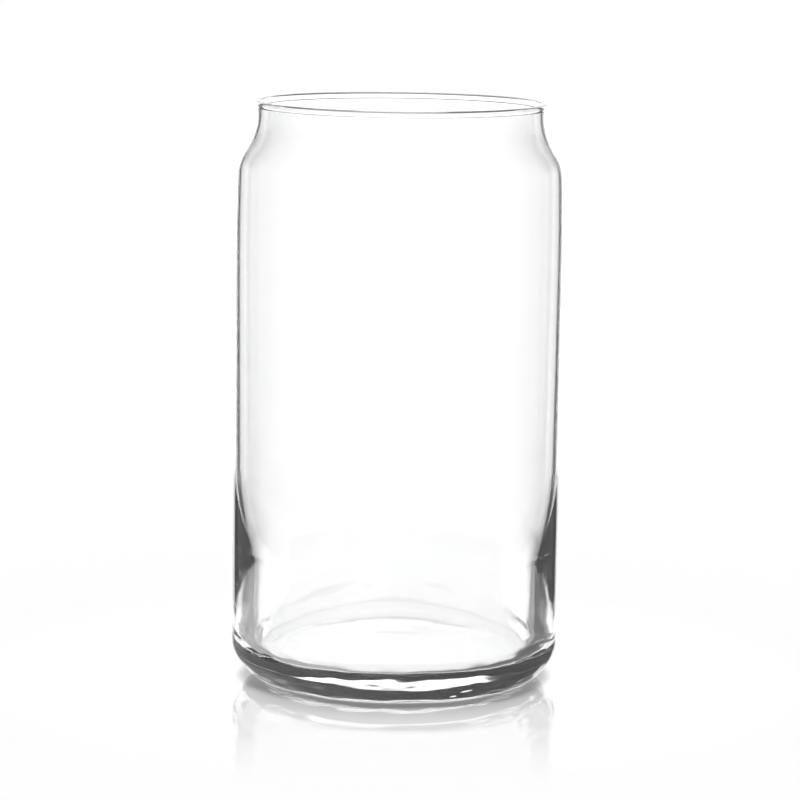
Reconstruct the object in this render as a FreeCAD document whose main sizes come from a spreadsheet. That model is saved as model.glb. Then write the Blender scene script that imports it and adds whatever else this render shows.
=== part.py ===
"""Can shaped drinking glass: one piece of clear glass, a straight body with a rounded heel, a shoulder that
steps in to a short neck, and a fire-polished bead on the rim. Millimetres, +Z up, the origin on the table
under the axis. The driving sizes are in the spreadsheet "Sizes"."""

import FreeCAD, Part
import math
import os
import Sketcher

doc = FreeCAD.newDocument("CanGlass")

# Sizes: name, number, what it is. Lengths are millimetres; a share is a part of the side that it names.
SIZES = (
    ("total_height", 133.35, "table to the top of the rim"),
    ("body_radius", 38.1, "outside, at the widest height"),
    ("belly_drop", 36.35, "rim's top down to the widest height"),
    ("low_draft", 0.23, "how much less the radius is at the heel than at the widest height"),
    ("heel_height", 5.72, "height of the corner between body and heel"),
    ("foot_inset", 5.6, "from the widest radius in to where the heel's slope would meet the table"),
    ("heel_round", 6.3, "rounding between body and heel slope"),
    ("foot_round", 5.4, "rounding between heel slope and table"),
    ("shoulder_draft", 0.38, "how much less the radius is at the shoulder's corner"),
    ("shoulder_drop", 13.75, "rim's top down to the corner where the shoulder starts"),
    ("neck_inset", 4.8, "from the widest radius in to the outside of the neck"),
    ("neck_drop", 6.32, "rim's top down to the corner where the shoulder meets the neck"),
    ("shoulder_share", 0.395, "share of the shoulder's slope taken by the rounding at its foot"),
    ("neck_share", 0.38, "share of the shoulder's slope taken by the hollow rounding at its top"),
    ("upper_wall", 1.35, "wall of the neck and shoulder"),
    ("body_wall", 1.4, "wall at the widest height"),
    ("taper_wall", 1.9, "widest radius less the cavity's, where the wall starts to thicken"),
    ("taper_height", 39.9, "height where the wall starts to thicken"),
    ("taper_share", 0.6, "share of the tapering wall taken by the bend at its top"),
    ("thick_wall", 4.38, "widest radius less the cavity's, where the thick wall turns upright again"),
    ("thick_height", 24.4, "height where it turns upright"),
    ("thick_share", 0.32, "share of the tapering wall taken by the bend at its foot"),
    ("thick_draft", 0.89, "how much that upright wall still leans in, down to the strip round the floor"),
    ("floor_height", 7.0, "glass under the cavity, on the axis"),
    ("strip_across", 1.38, "width of the slanted strip round the floor, between wall and floor"),
    ("strip_up", 2.14, "height of that strip"),
    ("strip_share", 0.71, "share of the strip taken by the rounding into the wall"),
    ("floor_share", 0.27, "share of the strip taken by the rounding into the floor"),
    ("bead_swell", 0.2, "half of what the rim's bead is thicker than the neck's wall"),
    ("bead_step", 0.15, "how far the bead stands out from the neck"),
    ("crease_round", 0.4, "rounding between bead and neck"),
    ("hollow_inset", 11.6, "from the widest radius in to the edge of the hollow under the base"),
    ("hollow_rise", 0.3, "how far that hollow rises on the axis"),
)

sheet = doc.addObject("Spreadsheet::Sheet", "Sizes")
for row, (alias, number, meaning) in enumerate(SIZES, start=1):
    sheet.set(f"A{row}", alias)
    sheet.set(f"B{row}", str(number))
    sheet.setAlias(f"B{row}", alias)
    sheet.set(f"C{row}", meaning)
doc.recompute()

body = doc.addObject("PartDesign::Body", "Glass")
body.Label = "glass"
body.Placement = FreeCAD.Placement()

# Radii and heights of the corners, from the sizes.
LOW_RADIUS = "Sizes.body_radius - Sizes.low_draft"
FOOT_RADIUS = "Sizes.body_radius - Sizes.foot_inset"
BELLY_HEIGHT = "Sizes.total_height - Sizes.belly_drop"
SHOULDER_RADIUS = "Sizes.body_radius - Sizes.shoulder_draft"
SHOULDER_HEIGHT = "Sizes.total_height - Sizes.shoulder_drop"
NECK_RADIUS = "Sizes.body_radius - Sizes.neck_inset"
NECK_HEIGHT = "Sizes.total_height - Sizes.neck_drop"
BEAD_RADIUS = "Sizes.upper_wall / 2 + Sizes.bead_swell"
BEAD_HEIGHT = f"Sizes.total_height - ({BEAD_RADIUS})"

# The shoulder's slope: how far it goes across and up, its lean from the vertical, and its length.
ACROSS = "(Sizes.neck_inset - Sizes.shoulder_draft)"
UP = "(Sizes.shoulder_drop - Sizes.neck_drop)"
LEAN = f"atan({ACROSS} / {UP})"
SLOPE = f"sqrt({ACROSS}^2 + {UP}^2)"
SHOULDER_ROUND = f"Sizes.shoulder_share * {SLOPE} / tan({LEAN} / 2)"
NECK_ROUND = f"Sizes.neck_share * {SLOPE} / tan({LEAN} / 2)"

# Inside, the same two corners sit lower, so that the sloping wall keeps its thickness.
SINK = f"Sizes.upper_wall * tan({LEAN} / 2)"

# The cavity's wall: nearly upright and thin, then a taper, then nearly upright and thick. Each part leans by
# some angle from the vertical, and each of the two bends between them is an arc that starts and ends at the
# same distance from the corner.
THIN_LEAN = f"atan((Sizes.taper_wall - Sizes.body_wall) / ({BELLY_HEIGHT} - Sizes.taper_height))"
TAPER_ACROSS = "(Sizes.thick_wall - Sizes.taper_wall)"
TAPER_UP = "(Sizes.taper_height - Sizes.thick_height)"
TAPER_LEAN = f"atan({TAPER_ACROSS} / {TAPER_UP})"
TAPER_BEND = f"Sizes.taper_share * {TAPER_UP}"
THICK_BEND = f"Sizes.thick_share * {TAPER_UP}"
STRIP_TOP = "Sizes.floor_height + Sizes.strip_up"
THICK_UP = f"(Sizes.thick_height - ({STRIP_TOP}))"
THICK_LEAN = f"atan(Sizes.thick_draft / {THICK_UP})"

# The slanted strip between the thick wall and the floor.
LOW_WALL = "Sizes.thick_wall + Sizes.thick_draft"
STRIP_LEAN = "atan(Sizes.strip_across / Sizes.strip_up)"
STRIP_LENGTH = "sqrt(Sizes.strip_across^2 + Sizes.strip_up^2)"
STRIP_ROUND = f"Sizes.strip_share * {STRIP_LENGTH} / tan(({STRIP_LEAN} - {THICK_LEAN}) / 2)"
FLOOR_ROUND = f"Sizes.floor_share * {STRIP_LENGTH} / tan(45 deg - {STRIP_LEAN} / 2)"

# Corners of the half sections: radius and height, None for zero.
FOOT = (FOOT_RADIUS, None)
HEEL = (LOW_RADIUS, "Sizes.heel_height")
BELLY = ("Sizes.body_radius", BELLY_HEIGHT)
SHOULDER = (SHOULDER_RADIUS, SHOULDER_HEIGHT)
NECK = (NECK_RADIUS, NECK_HEIGHT)
FLOOR_EDGE = (f"Sizes.body_radius - ({LOW_WALL}) - Sizes.strip_across", "Sizes.floor_height")
STRIP = (f"Sizes.body_radius - ({LOW_WALL})", STRIP_TOP)
INNER_BELLY = ("Sizes.body_radius - Sizes.body_wall", BELLY_HEIGHT)
INNER_SHOULDER = (f"{SHOULDER_RADIUS} - Sizes.upper_wall", f"{SHOULDER_HEIGHT} - {SINK}")
INNER_NECK = (f"{NECK_RADIUS} - Sizes.upper_wall", f"{NECK_HEIGHT} - {SINK}")
BEAD = (f"{NECK_RADIUS} + Sizes.bead_step - ({BEAD_RADIUS})", BEAD_HEIGHT)
HOLLOW_EDGE = ("Sizes.body_radius - Sizes.hollow_inset", None)


def along(wall, height, distance, lean):
    """The place at a distance up a leaning wall, or down it if negative, from a corner of the cavity."""
    return f"Sizes.body_radius - {wall} + {distance} * sin({lean})", f"{height} + {distance} * cos({lean})"


THICK_LOW = along("Sizes.thick_wall", "Sizes.thick_height", f"-{THICK_BEND}", THICK_LEAN)
THICK_HIGH = along("Sizes.thick_wall", "Sizes.thick_height", THICK_BEND, TAPER_LEAN)
TAPER_LOW = along("Sizes.taper_wall", "Sizes.taper_height", f"-{TAPER_BEND}", TAPER_LEAN)
TAPER_HIGH = along("Sizes.taper_wall", "Sizes.taper_height", TAPER_BEND, THIN_LEAN)


def value(text):
    """What an expression comes to with the sheet's sizes; None stands for zero."""
    if text is None:
        return 0.0
    result = body.evalExpression(text)
    return float(getattr(result, "Value", result))


def spot(corner):
    """The place of a corner in the plane of a section."""
    return FreeCAD.Vector(value(corner[0]), value(corner[1]), 0)


def section(name):
    """A sketch on the upright plane through the axis: across is radius, up is height."""
    sketch = body.newObject("Sketcher::SketchObject", name)
    plane = next(f for f in body.Origin.OriginFeatures if f.Role == "XZ_Plane")
    sketch.AttachmentSupport = [(plane, "")]
    sketch.MapMode = "FlatFace"
    return sketch


def end_at(sketch, side, place):
    """Which end of a side lies at the place: 1 for its start, 2 for its end."""
    drawn = sketch.Geometry[side]
    return 1 if (drawn.StartPoint - place).Length < (drawn.EndPoint - place).Length else 2


def pin(sketch, side, end, name, corner):
    """Binds one point of the sketch to a corner's radius and height."""
    for kind, axis, text, letter in (("DistanceX", -2, corner[0], "r"), ("DistanceY", -1, corner[1], "z")):
        if text is None:
            sketch.addConstraint(Sketcher.Constraint("PointOnObject", side, end, axis))
            continue
        index = sketch.addConstraint(Sketcher.Constraint(kind, -1, 1, side, end, value(text)))
        sketch.renameConstraint(index, f"{name}_{letter}")
        sketch.setExpression(f"Constraints.{name}_{letter}", text)


def loop(sketch, bowed, *corners):
    """Closes a loop of straight sides through the corners. A side that leaves a corner named in bowed is an arc,
    tangent to the side before it."""
    spots = [spot(corner) for _, corner in corners]
    sides = []
    for k, (name, _) in enumerate(corners):
        start, stop = spots[k], spots[(k + 1) % len(corners)]
        drawn = Part.LineSegment(start, stop)
        if name in bowed:
            ahead = (start - spots[k - 1]).normalize()
            chord = stop - start
            turn = math.atan2(ahead.x * chord.y - ahead.y * chord.x, ahead.dot(chord))
            bow = FreeCAD.Vector(chord.y, -chord.x, 0) * (math.tan(turn / 2) / 2)
            ends = (start, stop) if turn > 0 else (stop, start)
            drawn = Part.Arc(ends[0], start + chord / 2 + bow, ends[1])
        sides.append(sketch.addGeometry(drawn, False))
    for k, (name, corner) in enumerate(corners):
        last, side = sides[k - 1], sides[k]
        last_end, side_end = end_at(sketch, last, spots[k]), end_at(sketch, side, spots[k])
        joint = "Tangent" if name in bowed else "Coincident"
        sketch.addConstraint(Sketcher.Constraint(joint, last, last_end, side, side_end))
        pin(sketch, side, side_end, name, corner)


def turned(kind, name, sketch):
    """A full turn of the sketch about its vertical axis: a Revolution adds, a Groove cuts."""
    feature = body.newObject(f"PartDesign::{kind}", name)
    feature.Profile = sketch
    feature.ReferenceAxis = (sketch, ["V_Axis"])
    feature.Angle = 360.0
    doc.recompute()
    return feature


def ring(feature, place):
    """Name of the round edge of the feature at this radius and height."""
    best = (0.05, None)
    for number, edge in enumerate(feature.Shape.Edges, start=1):
        if edge.Degenerated or not isinstance(edge.Curve, Part.Circle):
            continue
        gap = math.hypot(edge.Curve.Radius - place.x, edge.Curve.Center.z - place.y)
        best = min(best, (gap, number), key=lambda found: found[0])
    if best[1] is None:
        raise RuntimeError(f"no round edge at radius {place.x:.2f}, height {place.y:.2f}")
    return f"Edge{best[1]}"


def rounding(name, base, radius, *places):
    """A fillet on the round edges at these places."""
    fillet = body.newObject("PartDesign::Fillet", name)
    fillet.Base = (base, [ring(base, place) for place in places])
    fillet.setExpression("Radius", radius)
    doc.recompute()
    return fillet


def grown(feature, before, sign):
    """Stops the build if the feature didn't change the volume the way it should."""
    if (feature.Shape.Volume - before) * sign <= 0:
        raise RuntimeError(f"{feature.Name} changes nothing")


# Outer form: table, heel slope, body, bowed upper body, shoulder slope, neck.
outer = section("OuterSection")
loop(
    outer,
    ("belly",),
    ("centre", (None, None)),
    ("foot", FOOT),
    ("heel", HEEL),
    ("belly", BELLY),
    ("shoulder", SHOULDER),
    ("neck", NECK),
    ("lip", (NECK_RADIUS, BEAD_HEIGHT)),
    ("top", (None, BEAD_HEIGHT)),
)
form = turned("Revolution", "OuterForm", outer)
form = rounding("FootRound", form, "Sizes.foot_round", spot(FOOT))
form = rounding("HeelRound", form, "Sizes.heel_round", spot(HEEL))
form = rounding("ShoulderRound", form, SHOULDER_ROUND, spot(SHOULDER))
form = rounding("NeckRound", form, NECK_ROUND, spot(NECK))
whole = form.Shape.Volume

# Cavity: floor, slanted strip round it, thick upright wall, tapering wall, thin wall, shoulder and neck.
inner = section("CavitySection")
loop(
    inner,
    ("thick_low", "taper_low", "inner_belly"),
    ("floor", (None, FLOOR_EDGE[1])),
    ("floor_edge", FLOOR_EDGE),
    ("strip", STRIP),
    ("thick_low", THICK_LOW),
    ("thick_high", THICK_HIGH),
    ("taper_low", TAPER_LOW),
    ("taper_high", TAPER_HIGH),
    ("inner_belly", INNER_BELLY),
    ("inner_shoulder", INNER_SHOULDER),
    ("inner_neck", INNER_NECK),
    ("mouth_edge", (INNER_NECK[0], "Sizes.total_height + 5")),
    ("mouth", (None, "Sizes.total_height + 5")),
)
form = turned("Groove", "Cavity", inner)
grown(form, whole, -1)
form = rounding("FloorRound", form, FLOOR_ROUND, spot(FLOOR_EDGE))
form = rounding("StripRound", form, STRIP_ROUND, spot(STRIP))
form = rounding(
    "InnerShoulderRound", form, f"{SHOULDER_ROUND} - Sizes.upper_wall", spot(INNER_SHOULDER)
)
form = rounding("InnerNeckRound", form, f"{NECK_ROUND} + Sizes.upper_wall", spot(INNER_NECK))
cavity = whole - form.Shape.Volume

# Rim bead: a round section a little thicker than the neck's wall, melted onto its top.
bead = section("BeadSection")
bead_spot, bead_radius = spot(BEAD), value(BEAD_RADIUS)
disc = bead.addGeometry(Part.Circle(bead_spot, FreeCAD.Vector(0, 0, 1), bead_radius), False)
pin(bead, disc, 3, "bead", BEAD)
index = bead.addConstraint(Sketcher.Constraint("Radius", disc, bead_radius))
bead.renameConstraint(index, "bead_section")
bead.setExpression("Constraints.bead_section", BEAD_RADIUS)
before = form.Shape.Volume
form = turned("Revolution", "RimBead", bead)
grown(form, before, 1)
creases = []
for wall in (value(NECK[0]), value(INNER_NECK[0])):
    depth = math.sqrt(bead_radius**2 - (wall - bead_spot.x) ** 2)
    creases.append(FreeCAD.Vector(wall, bead_spot.y - depth, 0))
form = rounding("CreaseRound", form, "Sizes.crease_round", *creases)

# Shallow hollow under the base, part of a sphere, so that the glass stands on a flat ring.
hollow = section("HollowSection")
reach, rise = value(HOLLOW_EDGE[0]), value("Sizes.hollow_rise")
sphere = (reach**2 + rise**2) / (2 * rise)
lean = math.asin(reach / sphere) / 2
centre, edge, crown = FreeCAD.Vector(0, 0, 0), FreeCAD.Vector(reach, 0, 0), FreeCAD.Vector(0, rise, 0)
middle = FreeCAD.Vector(sphere * math.sin(lean), rise - sphere * (1 - math.cos(lean)), 0)
bottom = hollow.addGeometry(Part.LineSegment(centre, edge), False)
arch = hollow.addGeometry(Part.Arc(edge, middle, crown), False)
upright = hollow.addGeometry(Part.LineSegment(crown, centre), False)
for first, second, place in ((bottom, arch, edge), (arch, upright, crown), (upright, bottom, centre)):
    first_end, second_end = end_at(hollow, first, place), end_at(hollow, second, place)
    hollow.addConstraint(Sketcher.Constraint("Coincident", first, first_end, second, second_end))
hollow.addConstraint(Sketcher.Constraint("PointOnObject", arch, 3, -2))
pin(hollow, bottom, 1, "hollow_centre", (None, None))
pin(hollow, bottom, 2, "hollow_edge", HOLLOW_EDGE)
pin(hollow, upright, 1, "hollow_crown", (None, "Sizes.hollow_rise"))
before = form.Shape.Volume
form = turned("Groove", "BaseHollow", hollow)
grown(form, before, -1)
body.Tip = form
doc.recompute()

for item in doc.Objects:
    if {"Invalid", "Error"} & set(item.State):
        raise RuntimeError(f"{item.Name} failed: {item.State}")
    if item.TypeId == "Sketcher::SketchObject" and item.solve() != 0:
        raise RuntimeError(f"{item.Name} is not solved")
if body.Shape.isNull() or not body.Shape.isValid() or len(body.Shape.Solids) != 1:
    raise RuntimeError("the glass is not one valid solid")

os.makedirs("parts", exist_ok=True)
body.Shape.exportStep(f"parts/{body.Label}.step")
box = body.Shape.optimalBoundingBox(False, False)
print(f"{body.Label}: {box.XLength:.2f} x {box.YLength:.2f} x {box.ZLength:.2f} mm, lowest {box.ZMin:.3f}")
print(f"glass {body.Shape.Volume / 1000:.1f} ml, room below the neck's top {cavity / 1000:.1f} ml")
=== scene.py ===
import math

import bmesh
import bpy
from mathutils import Matrix, Vector


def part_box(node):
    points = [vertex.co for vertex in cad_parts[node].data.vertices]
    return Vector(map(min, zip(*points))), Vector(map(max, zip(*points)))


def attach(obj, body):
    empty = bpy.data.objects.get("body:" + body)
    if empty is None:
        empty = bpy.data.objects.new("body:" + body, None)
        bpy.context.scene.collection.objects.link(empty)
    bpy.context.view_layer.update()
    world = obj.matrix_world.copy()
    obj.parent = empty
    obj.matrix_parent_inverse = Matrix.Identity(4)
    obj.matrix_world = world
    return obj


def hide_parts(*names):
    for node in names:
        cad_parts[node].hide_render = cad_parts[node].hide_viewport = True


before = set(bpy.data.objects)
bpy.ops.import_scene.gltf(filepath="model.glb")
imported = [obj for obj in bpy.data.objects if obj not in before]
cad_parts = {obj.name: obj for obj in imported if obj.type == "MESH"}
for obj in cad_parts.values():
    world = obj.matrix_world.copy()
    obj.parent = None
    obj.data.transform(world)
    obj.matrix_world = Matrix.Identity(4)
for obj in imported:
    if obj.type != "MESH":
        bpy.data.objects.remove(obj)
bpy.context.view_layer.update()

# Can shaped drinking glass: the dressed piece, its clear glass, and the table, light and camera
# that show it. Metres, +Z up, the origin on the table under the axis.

bl_info = {
    "name": "Can shaped glass",
    "version": (1, 0, 0),
    "blender": (4, 5, 0),
    "location": "3D View > Sidebar > Glass",
    "description": "Turns a can shaped drinking glass and lights it in front of a white field",
    "category": "Object",
}

GLASS_LOW, GLASS_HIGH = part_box("glass")


# Levels round the light tent: degrees from straight behind the glass, to the right, and level.
FIELD = (
    (-60, 0.02),
    (-30, 0.03),
    (-27, 0.12),
    (-24, 0.85),
    (-19, 1.0),
    (-12, 0.8),
    (12, 0.8),
    (19, 1.0),
    (24, 0.85),
    (27, 0.12),
    (30, 0.03),
    (60, 0.02),
)
CARDS = ((-64, 0), (-56, 1), (-38, 1), (-33, 0), (33, 0), (38, 1), (56, 1), (64, 0))
ABOVE_FIELD = 0.05  # what is left of the field's level above it

# Closest that two vertices or the ends of two roundings may be before they count as one.
TOUCH = 1e-7

# Section: what keeps the hollow's arc and the inner shoulder's rounding clear of their neighbours.
HOLLOW_SHARE = 0.85
SHOULDER_SHIFT = 0.000008
BEAD_FACET = math.radians(8)

# Glass: sizes of its cords and smears, and the noise levels between which they fade in. Heights
# between which the slow waves grow downwards. Heights and radii between which the streaks grow
# into the heel, and how many times flatter they are than long.
CORD_SIZE, CORDS = 0.02, (0.45, 0.75)
SMEAR_SIZE, SMEAR_DETAIL, SMEARS = 0.009, 4.0, (0.5, 0.8)
WAVE_HEIGHTS, WAVES_ABOVE = (0.06, 0.012), 0.05
HEEL_HEIGHTS, HEEL_RADII = (0.014, 0.006), (0.027, 0.033)
STREAK_FLATTEN = (1.0, 1.0, 3.0)

# Table: distances from the axis, or to either side of it, between which each of its looks fades.
FLOOR_SIZE, FLOOR_GLOW, FLOOR_ROUGHNESS = 6.0, 1.03, 0.04
GRAIN_SIZE, GRAIN_SHIFT = 0.03, 0.004
MIRROR_START = 0.034
# Radii between which the painted shadow ring beside the foot fades out.
PAINTED_SHADOW_FADE = (0.036, 0.0405)
# Sides, reaches and widths between which the painted light on both sides of the glass fades.
LEFT_TO_RIGHT = (-0.03, 0.03)
PAINTED_LIGHT_REACH, PAINTED_LIGHT_WIDTH = (0.15, 0.3), (0.076, 0.086)
SOFT_WORLD = 0.95  # the world's strength for soft light; the eye, gloss and glass see 1


def length(name, description, default):
    """A property that holds a length in metres."""
    return bpy.props.FloatProperty(
        name=name,
        description=description,
        default=default,
        min=0.0,
        precision=5,
        unit="LENGTH",
        subtype="DISTANCE",
    )


def angle(name, description, degrees):
    """A property that holds an angle, given here in degrees."""
    return bpy.props.FloatProperty(
        name=name,
        description=description,
        default=math.radians(degrees),
        precision=4,
        unit="ROTATION",
        subtype="ANGLE",
    )


def number(name, description, default):
    """A property that holds a plain number."""
    return bpy.props.FloatProperty(name=name, description=description, default=default, min=0.0)


def share(name, description, default):
    """A property that holds a share from 0 to 1."""
    return bpy.props.FloatProperty(
        name=name,
        description=description,
        default=default,
        min=0.0,
        max=1.0,
        subtype="FACTOR",
    )


def tint(name, description, default):
    """A property that holds a colour."""
    return bpy.props.FloatVectorProperty(
        name=name,
        description=description,
        default=default,
        size=3,
        min=0.0,
        max=1.0,
        subtype="COLOR",
    )


class GlassSizes(bpy.types.PropertyGroup):
    """Sizes of the half section that the glass is turned from."""

    height: length("Height", "Table to the top of the rim", GLASS_HIGH.z - GLASS_LOW.z)
    radius: length("Radius", "Outside, at the widest height", 0.0381)
    bow_drop: length(
        "Bow drop", "Rim's top down to where the tangents of the bowed upper body meet", 0.02666
    )
    bow_swell: length(
        "Bow swell", "How far those tangents meet outside the widest radius", 0.0000244
    )
    bow_round: length("Bow radius", "Radius of the bow", 0.585)
    inner_swell: length(
        "Inner swell",
        "How far the same tangents of the cavity meet outside its widest radius",
        0.0000845,
    )
    inner_round: length("Inner bow radius", "Radius of the cavity's bow", 0.47)
    low_draft: length("Low draft", "How much less the radius is at the heel", 0.00023)
    heel_height: length("Heel height", "Corner between body and heel slope", 0.00572)
    heel_round: length("Heel rounding", "Rounding between body and heel slope", 0.0063)
    foot_inset: length(
        "Foot inset", "Widest radius to the corner where the heel slope meets the table", 0.0056
    )
    foot_round: length("Foot rounding", "Rounding between heel slope and table", 0.0054)
    shoulder_draft: length(
        "Shoulder draft", "How much less the radius is at the shoulder's corner", 0.00037
    )
    shoulder_drop: length("Shoulder drop", "Rim's top down to the shoulder's corner", 0.013766)
    shoulder_round: length("Shoulder rounding", "Rounding at the foot of the shoulder", 0.012417)
    neck_inset: length("Neck inset", "Widest radius to the outside of the neck", 0.0048)
    neck_drop: length("Neck drop", "Rim's top down to the corner below the neck", 0.00632)
    neck_round: length("Neck rounding", "Hollow rounding between shoulder and neck", 0.01195)
    upper_wall: length("Upper wall", "Wall of neck and shoulder", 0.00135)
    body_wall: length("Body wall", "Wall at the widest height", 0.0014)
    taper_wall: length(
        "Taper wall", "Widest radius less the cavity's, where the wall starts to thicken", 0.0019
    )
    taper_height: length("Taper height", "Height where the wall starts to thicken", 0.0399)
    taper_round: length("Taper rounding", "Rounding of the bend there", 0.1238)
    thick_wall: length(
        "Thick wall", "Widest radius less the cavity's, where the wall is upright again", 0.00438
    )
    thick_height: length(
        "Thick wall's height", "Height of the bend into that upright wall", 0.0244
    )
    thick_round: length("Thick wall's rounding", "Rounding of that bend", 0.0988)
    thick_draft: length(
        "Thick wall's draft", "How much that wall still leans in on its way down", 0.00089
    )
    floor_height: length("Floor", "Glass under the cavity, on the axis", 0.007)
    strip_across: length("Strip across", "Width of the slanted strip round the floor", 0.00138)
    strip_up: length("Strip up", "Height of that strip", 0.00214)
    strip_round: length("Strip rounding", "Rounding from the wall into the strip", 0.00688)
    floor_round: length("Floor rounding", "Rounding from the strip into the floor", 0.00126)
    bead_radius: length("Bead", "Radius of the round bead on the rim", 0.000875)
    bead_step: length("Bead step", "How far the bead stands out from the neck", 0.00015)
    crease_round: length("Crease rounding", "Rounding between bead and neck", 0.0004)
    hollow_inset: length(
        "Hollow inset", "Widest radius to the edge of the hollow under the base", 0.0116
    )
    hollow_rise: length("Hollow rise", "How far that hollow rises on the axis", 0.00015)
    hollow_edge_round: length("Hollow edge rounding", "Softened edge of that hollow", 0.002)
    facet: angle("Facet", "Turn of one step along the rounded parts of the section", 2.5)
    turns: bpy.props.IntProperty(
        name="Steps round",
        description="Steps of the full turn about the axis",
        default=256,
        min=24,
        max=512,
    )


class GlassFinish(bpy.types.PropertyGroup):
    """Look of the clear glass."""

    clear: tint("Clear", "Tint of the clean glass", (1.0, 1.0, 1.0))
    cloudy: tint("Less clear", "Tint in its faint cords", (0.985, 0.99, 0.99))
    depth: tint("Depth", "Colour that a thick stretch of the glass turns to", (0.78, 0.86, 0.84))
    density: number("Density", "How fast thick glass takes on that colour, per metre", 2.0)
    index: number("Refraction", "Index of refraction of soda-lime glass", 1.52)
    smear: share("Smear", "Roughness of the faintest smears on the surface", 0.02)
    veil: share(
        "Veil", "Faint dust on the surface, which lifts what looks black through the glass", 0.05
    )
    ripple: length(
        "Ripple", "Depth of the slow waves that pressing left in the lower glass", 0.00006
    )
    ripple_size: length("Ripple size", "Width of those waves", 0.014)
    heel_ripple: number("Heel ripple", "How many times deeper the streaks in the heel are", 13.0)
    streak_size: length("Streak size", "Length of those streaks, which lie along the heel", 0.012)


class StageLook(bpy.types.PropertyGroup):
    """Table, light and camera."""

    white: tint("White", "Colour of floor and backdrop", (1.0, 1.0, 1.0))
    shade: share(
        "Shadow", "How much of the floor's white comes from the light that the glass blocks", 0.3
    )
    mirror: share("Mirror", "How strongly the floor mirrors the glass", 0.3)
    mirror_reach: length(
        "Mirror reach", "Distance from the axis at which the mirroring has faded", 0.115
    )
    contact_mirror: share(
        "Contact mirror", "How much more it mirrors the glass where it stands", 0.2
    )
    contact_reach: length("Contact reach", "Distance from the axis at which that has faded", 0.052)
    # Strength of the painted shadow ring on the floor right beside the foot.
    contact_shade: share("Contact shade", "How dark the floor is right beside the foot", 0.5)
    # Painted light: the lit strip and the glow left and right below make the table glow where the
    # glass sees it.
    lit_front: length(
        "Lit strip's front",
        "Behind the axis, the front middle of the lit strip under the glass",
        0.008,
    )
    lit_back: length("Lit strip's back", "Behind the axis, the back middle of that strip", 0.085)
    lit_near: length(
        "Lit strip's half width", "Up to here the table seen through the glass is white", 0.033
    )
    lit_far: length("Lit strip's end", "From here it mostly mirrors the tent", 0.04)
    lit_share: share("Lit share", "How white the lit strip is, against its mirroring", 0.9)
    strip_strength: number("Strip strength", "Brightness of the lit strip", 1.3)
    left_painted_light: share("Left grey", "What the table adds to its mirroring on the left", 0.36)
    right_painted_light: share("Right grey", "What it adds on the right", 0.1)
    gap: length("Gap", "Air between the table and the ring that the glass stands on", 0.00005)
    tent_radius: length("Tent", "Radius of the light tent around the glass", 3.0)
    field_rise: angle(
        "White field", "Height above the table up to which it has its full level", 21
    )
    field_top: angle("White field's end", "Where it has faded", 28)
    side_glow: share("Side glow", "Level of the pale cards on both sides of the white field", 0.27)
    card_rise: angle("Cards", "How high those cards reach at their full level", 6)
    card_top: angle("Cards' end", "Where they have faded", 12)
    field_strength: number("Field strength", "Over 1, as the glass passes less light on", 1.8)
    bounces: bpy.props.IntProperty(
        name="Bounces",
        description="How often light may bounce about in the glass",
        default=8,
        min=4,
    )
    distance: length("Camera distance", "Axis of the glass to the camera", 0.8506)
    eye: length("Camera height", "Table to the camera", 0.1911)
    pitch: angle("Pitch", "How far the camera looks down", math.degrees(0.1478))
    yaw: angle(
        "Yaw", "How far the camera looks to the right of the axis", math.degrees(2.91 / 3725)
    )
    roll: angle("Roll", "How far the camera leans to the left", math.degrees(0.0136))
    lens: bpy.props.FloatProperty(
        name="Lens", description="Focal length", default=167.6, min=1.0, unit="CAMERA"
    )


class Pen:
    """Draws a half section in the plane y = 0: straight runs and true arcs, on from one vertex."""

    SUPPORT = 0.0002  # distance of the support vertex from each end of a run
    REACH = 0.006  # longest stretch between them

    def __init__(self, bm, start, step):
        self.bm, self.step = bm, step
        self.tip = bm.verts.new((start.x, 0.0, start.y))

    @property
    def place(self):
        return Vector((self.tip.co.x, self.tip.co.z))

    def straight(self, end):
        """A straight run: a support vertex near each end, and short stretches between them."""
        start = self.place
        run = (end - start).length
        stops = [run]
        if run > 5 * self.SUPPORT:
            inner = run - 2 * self.SUPPORT
            parts = max(1, math.ceil(inner / self.REACH))
            stops = [self.SUPPORT + inner * k / parts for k in range(parts + 1)] + [run]
        for stop in stops:
            spot = start.lerp(end, stop / run)
            self.tip = bmesh.ops.extrude_vert_indiv(self.bm, verts=[self.tip])["verts"][0]
            shift = Vector((spot.x, 0.0, spot.y)) - self.tip.co
            bmesh.ops.translate(self.bm, verts=[self.tip], vec=shift)

    def arc(self, centre, sweep, step=None):
        """An arc about a centre; a sweep over 0 turns from +X towards +Z."""
        steps = max(2, math.ceil(abs(sweep) / (step or self.step)))
        made = bmesh.ops.spin(
            self.bm,
            geom=[self.tip],
            cent=(centre.x, 0.0, centre.y),
            axis=(0.0, -1.0, 0.0),
            dvec=(0.0, 0.0, 0.0),
            angle=sweep,
            steps=steps,
            use_duplicate=False,
        )
        self.tip = next(item for item in made["geom_last"] if isinstance(item, bmesh.types.BMVert))

    def through(self, corners, end):
        """Runs past each corner, rounded by its radius, and stops at the end."""
        spots = [corner for corner, _ in corners] + [end]
        for k, (corner, radius) in enumerate(corners):
            back = (self.place - corner).normalized()
            ahead = (spots[k + 1] - corner).normalized()
            turn = back.x * ahead.y - back.y * ahead.x
            half = math.atan2(abs(turn), back.dot(ahead)) / 2
            start = corner + back * radius / math.tan(half)
            if (start - self.place).dot(back) > TOUCH:
                raise RuntimeError(f"the rounding at {corner} is too large")
            centre = corner + (back + ahead).normalized() * radius / math.sin(half)
            self.straight(start)
            self.arc(centre, math.copysign(math.pi - 2 * half, -turn))
        if (end - self.place).length > TOUCH:
            self.straight(end)


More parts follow.
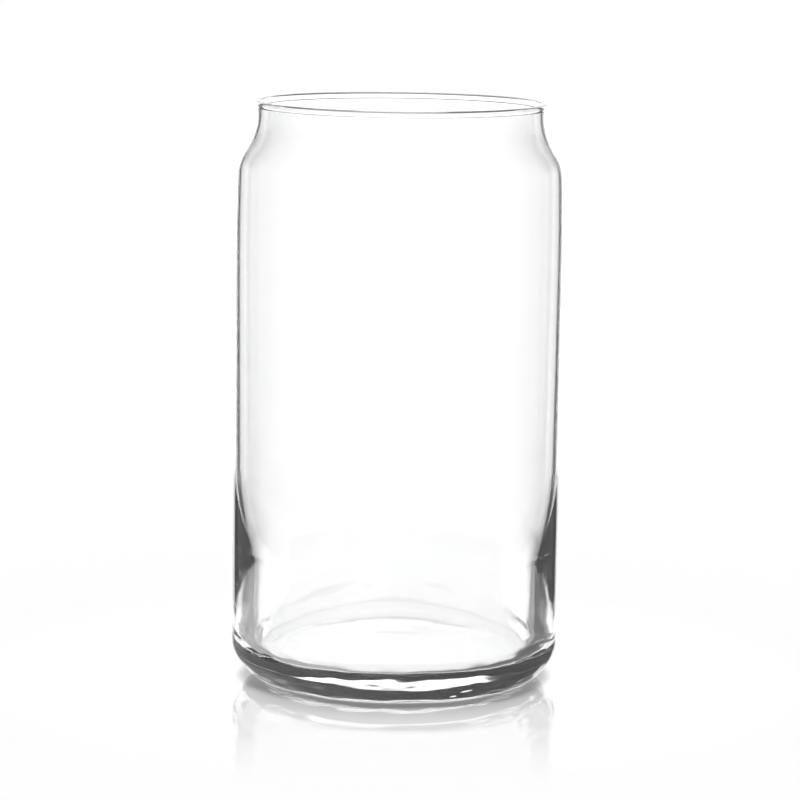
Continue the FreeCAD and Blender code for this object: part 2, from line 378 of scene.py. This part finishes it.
def half_section(bm, sizes):
    """Draws the section from the hollow's crown, up outside, over the rim, down to the floor."""
    top, wide = sizes.height, sizes.radius
    neck = wide - sizes.neck_inset
    shoulder = Vector((wide - sizes.shoulder_draft, top - sizes.shoulder_drop))
    collar = Vector((neck, top - sizes.neck_drop))
    across = sizes.neck_inset - sizes.shoulder_draft
    lean = math.atan2(across, sizes.shoulder_drop - sizes.neck_drop)
    sink = sizes.upper_wall * math.tan(lean / 2)
    rim = Vector((neck + sizes.bead_step - sizes.bead_radius, top - sizes.bead_radius))

    hollow = wide - sizes.hollow_inset
    arch = (hollow**2 + sizes.hollow_rise**2) / (2 * sizes.hollow_rise)
    kink = arch * math.tan(math.asin(hollow / arch) / 2)

    # The bead meets the neck in a small hollow rounding, outside and inside.
    reach = sizes.bead_radius + sizes.crease_round
    outer_gap = neck + sizes.crease_round - rim.x
    inner_gap = rim.x - (neck - sizes.upper_wall - sizes.crease_round)
    outer_crease = Vector((rim.x + outer_gap, rim.y - math.sqrt(reach**2 - outer_gap**2)))
    inner_crease = Vector((rim.x - inner_gap, rim.y - math.sqrt(reach**2 - inner_gap**2)))
    outer_lean, inner_lean = math.acos(outer_gap / reach), math.acos(inner_gap / reach)

    pen = Pen(bm, Vector((0.0, sizes.hollow_rise)), sizes.facet)
    pen.through(
        [
            (Vector((kink, sizes.hollow_rise)), HOLLOW_SHARE * arch),
            (Vector((hollow, 0.0)), sizes.hollow_edge_round),
            (Vector((wide - sizes.foot_inset, 0.0)), sizes.foot_round),
            (Vector((wide - sizes.low_draft, sizes.heel_height)), sizes.heel_round),
            (Vector((wide + sizes.bow_swell, top - sizes.bow_drop)), sizes.bow_round),
            (shoulder, sizes.shoulder_round),
            (collar, sizes.neck_round),
        ],
        Vector((neck, outer_crease.y)),
    )
    pen.arc(outer_crease, -outer_lean, BEAD_FACET)
    pen.arc(rim, math.pi + outer_lean + inner_lean, BEAD_FACET)
    pen.arc(inner_crease, -inner_lean, BEAD_FACET)

    wall = sizes.upper_wall
    bow = Vector((wide - sizes.body_wall + sizes.inner_swell, top - sizes.bow_drop))
    inner_shoulder = Vector((shoulder.x - wall + SHOULDER_SHIFT, shoulder.y - sink))
    low = wide - sizes.thick_wall - sizes.thick_draft
    pen.through(
        [
            (Vector((neck - wall, collar.y - sink)), sizes.neck_round + wall),
            (inner_shoulder, sizes.shoulder_round - wall),
            (bow, sizes.inner_round),
            (Vector((wide - sizes.taper_wall, sizes.taper_height)), sizes.taper_round),
            (Vector((wide - sizes.thick_wall, sizes.thick_height)), sizes.thick_round),
            (Vector((low, sizes.floor_height + sizes.strip_up)), sizes.strip_round),
            (Vector((low - sizes.strip_across, sizes.floor_height)), sizes.floor_round),
        ],
        Vector((0.0, sizes.floor_height)),
    )


def link(name, data):
    """A new object in the scene."""
    made = bpy.data.objects.new(name, data)
    bpy.context.scene.collection.objects.link(made)
    return made


def turn_solid(name, draw, steps):
    """Turns a half section once about the axis and closes it into a smooth solid."""
    bm = bmesh.new()
    draw(bm)
    bmesh.ops.spin(
        bm,
        geom=bm.verts[:] + bm.edges[:],
        cent=(0.0, 0.0, 0.0),
        axis=(0.0, 0.0, 1.0),
        dvec=(0.0, 0.0, 0.0),
        angle=math.tau,
        steps=steps,
        use_merge=True,
        use_duplicate=False,
    )
    bmesh.ops.remove_doubles(bm, verts=bm.verts[:], dist=TOUCH)
    bmesh.ops.dissolve_degenerate(bm, edges=bm.edges[:], dist=TOUCH)
    bmesh.ops.recalc_face_normals(bm, faces=bm.faces[:])
    open_edges = sum(not edge.is_manifold for edge in bm.edges)
    for face in bm.faces:
        face.smooth = True
    mesh = bpy.data.meshes.new(name)
    bm.to_mesh(mesh)
    bm.free()
    if open_edges:
        raise RuntimeError(f"{name} has {open_edges} open edges")
    return link(name, mesh)


class Signal:
    """A socket in an expression: each operator adds the Math node that works it out."""

    def __init__(self, graph, socket):
        self.graph, self.socket = graph, socket

    def __add__(self, other):
        return self.graph.math("ADD", self, other)

    def __sub__(self, other):
        return self.graph.math("SUBTRACT", self, other)

    def __mul__(self, other):
        return self.graph.math("MULTIPLY", self, other)

    def __truediv__(self, other):
        return self.graph.math("DIVIDE", self, other)

    def __pow__(self, other):
        return self.graph.math("POWER", self, other)

    def __neg__(self):
        return self.graph.math("MULTIPLY", self, -1.0)

    def __abs__(self):
        return self.graph.math("ABSOLUTE", self)


class Graph:
    """Adds nodes to the cleared node tree of a material or world."""

    def __init__(self, owner):
        owner.use_nodes = True
        self.tree = owner.node_tree
        self.tree.nodes.clear()

    def add(self, kind, settings=None, inputs=None):
        """A node of this type, settings first and then inputs; returns its outputs as signals."""
        node = self.tree.nodes.new(kind)
        for name, value in (settings or {}).items():
            if name == "stops":
                ramp = node.color_ramp
                while len(ramp.elements) < len(value):
                    ramp.elements.new(0.5)
                for element, (position, level) in zip(ramp.elements, value):
                    element.position = position
                    element.color = (level, level, level, 1.0)
            elif name == "blend":
                node.color_ramp.interpolation = value
            else:
                setattr(node, name, value)
        for name, value in (inputs or {}).items():
            socket = node.inputs[name]
            if isinstance(value, Signal):
                self.tree.links.new(value.socket, socket)
            elif socket.type == "RGBA":
                socket.default_value = (*value, 1.0)
            else:
                socket.default_value = value
        return [Signal(self, output) for output in node.outputs]

    def math(self, operation, *values):
        """A Math node of one or two inputs."""
        return self.add("ShaderNodeMath", {"operation": operation}, dict(enumerate(values)))[0]

    def blend_colour(self, factor, first, second):
        """A mix of two colours."""
        inputs = {0: factor, 6: first, 7: second}
        return self.add("ShaderNodeMix", {"data_type": "RGBA"}, inputs)[2]

    def blend_shader(self, factor, first, second):
        """A mix of two shaders."""
        return self.add("ShaderNodeMixShader", None, {0: factor, 1: first, 2: second})[0]

    def glow(self, colour, strength):
        """A surface that shines."""
        return self.add("ShaderNodeEmission", None, {"Color": colour, "Strength": strength})[0]

    def step(self, value, low, high, start=0.0, end=1.0):
        """Goes smoothly from start to end while the value goes from low to high."""
        return self.add(
            "ShaderNodeMapRange",
            {"interpolation_type": "SMOOTHSTEP"},
            {"Value": value, "From Min": low, "From Max": high, "To Min": start, "To Max": end},
        )[0]

    def level(self, turn, levels):
        """Level at a turn from 0 to 1, eased between these; 0.5 is straight behind the glass."""
        stops = [(0.5 + degrees / 360, level) for degrees, level in levels]
        settings = {"blend": "EASE", "stops": stops}
        return self.add("ShaderNodeValToRGB", settings, {0: turn})[0]

    def rays(self):
        """Whether a ray comes from the camera, off a gloss or through glass."""
        outputs = self.add("ShaderNodeLightPath")
        return outputs[0], outputs[3], outputs[6]

    def place(self, item=None):
        """Coordinates of the object itself or of another: the vector and its x, y and z."""
        here = self.add("ShaderNodeTexCoord", {"object": item})[3]
        return here, *self.add("ShaderNodeSeparateXYZ", None, {0: here})

    def out(self, x, y):
        """How far out from the axis, or from another point, this is."""
        return (x * x + y * y) ** 0.5

    def noise(self, here, size, detail=2.0):
        """Soft noise whose blobs are about this wide."""
        inputs = {"Vector": here, "Scale": 1.0 / size, "Detail": detail}
        return self.add("ShaderNodeTexNoise", {"noise_dimensions": "3D"}, inputs)[0]


def clear_glass(finish):
    """Clear glass: faint cords, slow waves in its lower part and streaks in its heel."""
    material = bpy.data.materials.new("clear_glass")
    graph = Graph(material)
    here, x, y, z = graph.place()
    cords = graph.step(graph.noise(here, CORD_SIZE), *CORDS)
    smears = graph.step(graph.noise(here, SMEAR_SIZE, SMEAR_DETAIL), *SMEARS)

    waves = graph.noise(here, finish.ripple_size, 1.0)
    waves = waves * (graph.step(z, *WAVE_HEIGHTS) * (1.0 - WAVES_ABOVE) + WAVES_ABOVE)
    flatten = {"operation": "MULTIPLY"}
    flat = graph.add("ShaderNodeVectorMath", flatten, {0: here, 1: STREAK_FLATTEN})[0]
    heel = graph.step(z, *HEEL_HEIGHTS) * graph.step(graph.out(x, y), *HEEL_RADII)
    streaks = graph.noise(flat, finish.streak_size, 1.0) * heel * finish.heel_ripple
    relief = {"Strength": 1.0, "Distance": finish.ripple, "Height": waves + streaks}

    looks = {
        "Base Color": graph.blend_colour(cords, finish.clear, finish.cloudy),
        "Roughness": smears * finish.smear,
        "IOR": finish.index,
        "Transmission Weight": 1.0 - finish.veil,
        "Normal": graph.add("ShaderNodeBump", None, relief)[0],
    }
    shader = graph.add("ShaderNodeBsdfPrincipled", None, looks)[0]
    tinge = {"Color": finish.depth, "Density": finish.density}
    depth = graph.add("ShaderNodeVolumeAbsorption", None, tinge)[0]
    graph.add("ShaderNodeOutputMaterial", None, {"Surface": shader, "Volume": depth})
    return material


class CANGLASS_OT_glass(bpy.types.Operator):
    """Turns the glass and gives it its clear glass"""

    bl_idname = "can_glass.turn_glass"
    bl_label = "Turn the glass"

    def execute(self, context):
        sizes = context.scene.can_glass_sizes
        piece = turn_solid("glass_body", lambda bm: half_section(bm, sizes), sizes.turns)
        piece.data.materials.append(clear_glass(context.scene.can_glass_finish))
        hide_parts("glass")
        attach(piece, "root")
        return {"FINISHED"}


def aim_camera(look):
    """The camera at the photograph's angle."""
    camera = link("camera", bpy.data.cameras.new("camera"))
    camera.data.lens = look.lens
    camera.data.sensor_width = 36.0
    camera.data.clip_start = 0.05
    camera.data.clip_end = 20.0
    spot = Matrix.Translation((0.0, -look.distance, look.eye))
    yaw = Matrix.Rotation(-look.yaw, 4, "Z")
    pitch = Matrix.Rotation(math.pi / 2 - look.pitch, 4, "X")
    camera.matrix_world = spot @ (yaw @ pitch) @ Matrix.Rotation(look.roll, 4, "Z")
    bpy.context.scene.camera = camera
    return camera


def table_top(look):
    """A pale table: to the camera it is white, with the soft shadow and mirror image of the glass.

    Through the glass, and off it, the table mirrors the tent, apart from painted light: a strip
    under and behind the glass glows white, and a fainter glow lies on both sides of it. Right
    beside the foot a ring of painted shadow darkens the floor.
    """
    material = bpy.data.materials.new("table_white")
    graph = Graph(material)
    here, x, y, _ = graph.place()
    away = graph.out(x, y)
    spread = away + graph.noise(here, GRAIN_SIZE) * GRAIN_SHIFT

    matt = graph.add("ShaderNodeBsdfDiffuse", None, {"Color": look.white})[0]
    flat = graph.blend_shader(1.0 - look.shade, matt, graph.glow(look.white, FLOOR_GLOW))
    polish = {"Color": look.white, "Roughness": FLOOR_ROUGHNESS}
    gloss = graph.add("ShaderNodeBsdfAnisotropic", None, polish)[0]
    mirror = graph.step(spread, MIRROR_START, look.contact_reach, look.contact_mirror, 0.0)
    mirror = mirror + graph.step(spread, MIRROR_START, look.mirror_reach, look.mirror, 0.0)
    # Painted shadow: a ring right beside the foot where a black surface is mixed into the floor.
    painted_shadow_ring = graph.step(spread, *PAINTED_SHADOW_FADE, look.contact_shade, 0.0)
    black = graph.glow(look.white, 0.0)
    seen = graph.blend_shader(painted_shadow_ring, graph.blend_shader(mirror, flat, gloss), black)

    # Painted light, seen only through and off the glass: a glowing strip under and behind the
    # glass, and a fainter glow on both sides of it.
    middle = graph.math("MINIMUM", graph.math("MAXIMUM", y, look.lit_front), look.lit_back)
    off = graph.out(x, y - middle)
    strip = graph.step(off, look.lit_near, look.lit_far, look.lit_share, 0.0)
    grey = graph.step(x, *LEFT_TO_RIGHT, look.left_painted_light, look.right_painted_light)
    beside = graph.step(abs(x), *PAINTED_LIGHT_WIDTH, 1.0, 0.0)
    grey = grey * graph.step(away, *PAINTED_LIGHT_REACH, 1.0, 0.0) * beside
    lit = graph.math("MAXIMUM", strip, grey)
    through = graph.blend_shader(lit, gloss, graph.glow(look.white, look.strip_strength))

    _, off_gloss, through_glass = graph.rays()
    table = graph.blend_shader(through_glass + off_gloss, seen, through)
    graph.add("ShaderNodeOutputMaterial", None, {"Surface": table})
    return material


def tent_cloth(look, table):
    """Light tent: a white field behind the glass, dark beside it, and a pale card on each side."""
    material = bpy.data.materials.new("tent_cloth")
    graph = Graph(material)
    _, x, _, z = graph.place()
    turn = graph.math("ARCTAN2", x, -z) / math.tau + 0.5
    _, _, _, height = graph.place(table)
    rise = graph.math("ARCSINE", height / look.tent_radius)
    field = graph.level(turn, FIELD)
    field = field * graph.step(rise, look.field_rise, look.field_top, 1.0, ABOVE_FIELD)
    cards = graph.level(turn, CARDS)
    cards = cards * graph.step(rise, look.card_rise, look.card_top, look.side_glow, 0.0)
    cloth = graph.glow(field + cards, look.field_strength)
    graph.add("ShaderNodeOutputMaterial", None, {"Surface": cloth})
    return material


def white_world(look):
    """A white world for the eye and for soft light on the table."""
    world = bpy.data.worlds.new("white_field")
    bpy.context.scene.world = world
    graph = Graph(world)
    by_eye, off_gloss, through_glass = graph.rays()
    seen = by_eye + off_gloss + through_glass
    light = {"Color": look.white, "Strength": seen * (1.0 - SOFT_WORLD) + SOFT_WORLD}
    sky = graph.add("ShaderNodeBackground", None, light)[0]
    graph.add("ShaderNodeOutputWorld", None, {"Surface": sky})


def stage_piece(name, operator, **sizes):
    """A piece of the stage, made by one mesh operator."""
    bm = bmesh.new()
    operator(bm, **sizes)
    mesh = bpy.data.meshes.new(name)
    bm.to_mesh(mesh)
    bm.free()
    return link(name, mesh)


class CANGLASS_OT_stage(bpy.types.Operator):
    """Sets the camera, the pale table, the white field and the light tent"""

    bl_idname = "can_glass.set_stage"
    bl_label = "Set the stage"

    def execute(self, context):
        look = context.scene.can_glass_look
        context.scene.view_settings.view_transform = "Standard"
        context.scene.cycles.max_bounces = look.bounces
        context.scene.cycles.transmission_bounces = look.bounces
        context.scene.cycles.glossy_bounces = look.bounces
        camera = aim_camera(look)

        grid = bmesh.ops.create_grid
        table = stage_piece("table", grid, x_segments=1, y_segments=1, size=FLOOR_SIZE)
        table.data.materials.append(table_top(look))
        table.location.z = -look.gap

        ball = bmesh.ops.create_uvsphere
        tent = stage_piece(
            "light_tent", ball, u_segments=48, v_segments=24, radius=look.tent_radius
        )
        tent.data.materials.append(tent_cloth(look, table))
        tent.parent = camera
        tent.location = (0.0, 0.0, -look.distance)
        tent.visible_camera = False
        tent.visible_diffuse = False
        tent.visible_shadow = False

        white_world(look)
        return {"FINISHED"}


class CANGLASS_PT_panel(bpy.types.Panel):
    """Lists the piece and the stage"""

    bl_idname = "CANGLASS_PT_panel"
    bl_label = "Can shaped glass"
    bl_space_type = "VIEW_3D"
    bl_region_type = "UI"
    bl_category = "Glass"

    def draw(self, context):
        for operator, group in (
            (CANGLASS_OT_glass, context.scene.can_glass_sizes),
            (CANGLASS_OT_glass, context.scene.can_glass_finish),
            (CANGLASS_OT_stage, context.scene.can_glass_look),
        ):
            column = self.layout.column(align=True)
            column.operator(operator.bl_idname)
            for name in group.__annotations__:
                column.prop(group, name)


CLASSES = (
    GlassSizes,
    GlassFinish,
    StageLook,
    CANGLASS_OT_glass,
    CANGLASS_OT_stage,
    CANGLASS_PT_panel,
)


def register():
    for item in CLASSES:
        bpy.utils.register_class(item)
    bpy.types.Scene.can_glass_sizes = bpy.props.PointerProperty(type=GlassSizes)
    bpy.types.Scene.can_glass_finish = bpy.props.PointerProperty(type=GlassFinish)
    bpy.types.Scene.can_glass_look = bpy.props.PointerProperty(type=StageLook)


def unregister():
    del bpy.types.Scene.can_glass_look
    del bpy.types.Scene.can_glass_finish
    del bpy.types.Scene.can_glass_sizes
    for item in reversed(CLASSES):
        bpy.utils.unregister_class(item)


def main():
    register()
    bpy.ops.can_glass.turn_glass()
    bpy.ops.can_glass.set_stage()


if __name__ == "__main__":
    main()
